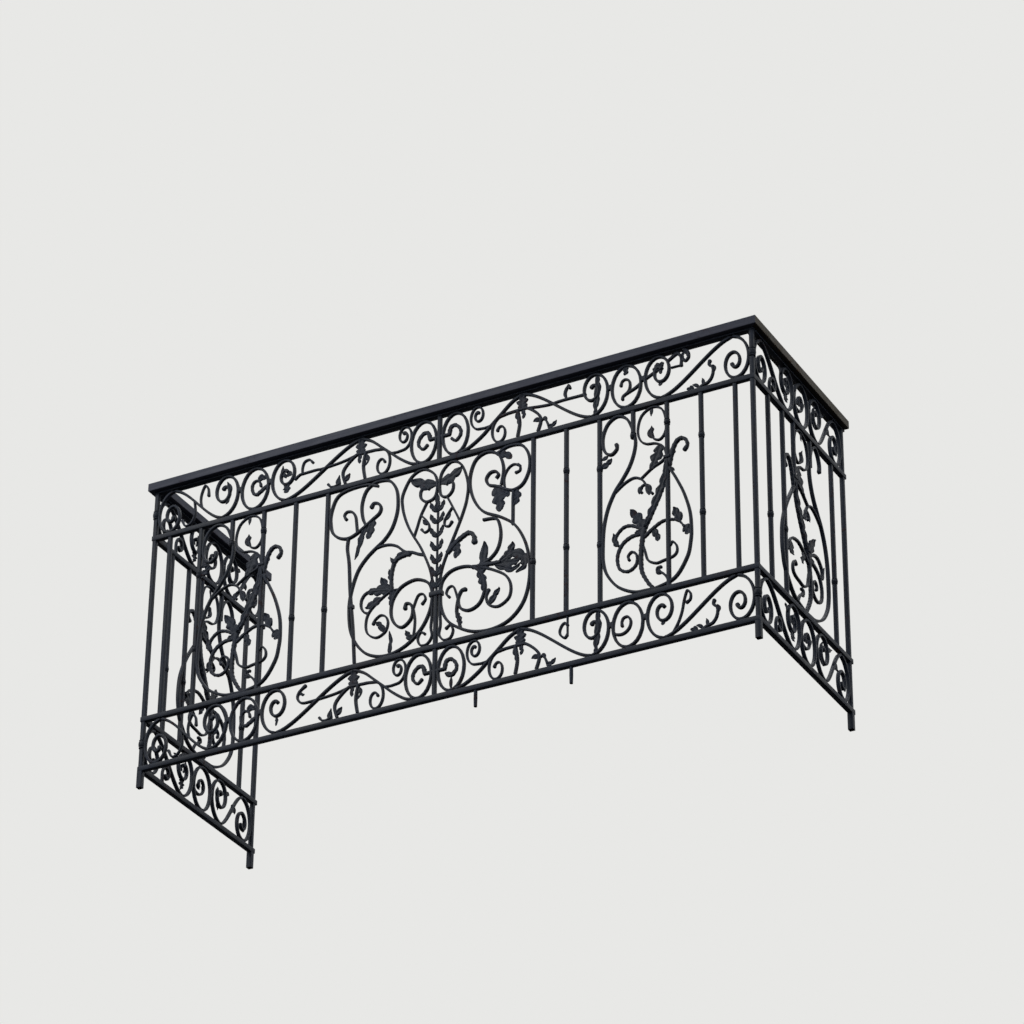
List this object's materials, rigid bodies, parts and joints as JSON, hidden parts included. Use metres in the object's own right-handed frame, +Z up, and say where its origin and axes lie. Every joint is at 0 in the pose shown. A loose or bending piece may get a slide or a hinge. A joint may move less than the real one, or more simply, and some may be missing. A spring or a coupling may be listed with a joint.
{
  "type": "wrought iron balcony railing",
  "caption": "Three-sided wrought iron balcony railing with scrollwork friezes, square bars, a lyre and teardrop ornaments under a plain square-edged handrail.",
  "frame": {"origin": "on the ground under the middle of the railing's bounding box", "axes": "+X along the front to the right, -Y towards the viewer in front of the railing, +Y to the wall, +Z up"},
  "size_m": [2.074, 0.659, 1.045],
  "materials": {
    "rails": "satin black paint on square wrought iron, dusty on top",
    "handrail": "satin black paint on a plain handrail, dusty and weathered",
    "scrolls": "satin black paint on forged scrolls and leaves, faint rust in places"
  },
  "bodies": {
    "root": {"handrail_front": "handrail", "handrail_left": "handrail", "handrail_right": "handrail", "handrail_bed_front": "rails", "handrail_bed_left": "rails", "handrail_bed_right": "rails", "upper_rail_front": "rails", "upper_rail_left": "rails", "upper_rail_right": "rails", "lower_rail_front": "rails", "lower_rail_left": "rails", "lower_rail_right": "rails", "bottom_rail_front": "rails", "bottom_rail_left": "rails", "bottom_rail_right": "rails", "corner_post_left": "rails", "corner_post_right": "rails", "wall_post_left": "rails", "wall_post_right": "rails", "bars_front_left": "rails", "bars_front_right": "rails", "bars_side_left": "rails", "bars_side_right": "rails", "frieze_top_front_left": "scrolls", "frieze_top_front_right": "scrolls", "frieze_bottom_front_left": "scrolls", "frieze_bottom_front_right": "scrolls", "frieze_top_side_left": "scrolls", "frieze_top_side_right": "scrolls", "frieze_bottom_side_left": "scrolls", "frieze_bottom_side_right": "scrolls", "lyre_left": "scrolls", "lyre_right": "scrolls", "middle_bar": "rails", "middle_stem": "scrolls", "teardrop_front_left": "scrolls", "teardrop_front_right": "scrolls", "teardrop_side_left": "scrolls", "teardrop_side_right": "scrolls", "corner_foot_left": "rails", "corner_foot_right": "rails", "wall_foot_left": "rails", "wall_foot_right": "rails", "middle_pins": "rails"}
  },
  "joints": []
}
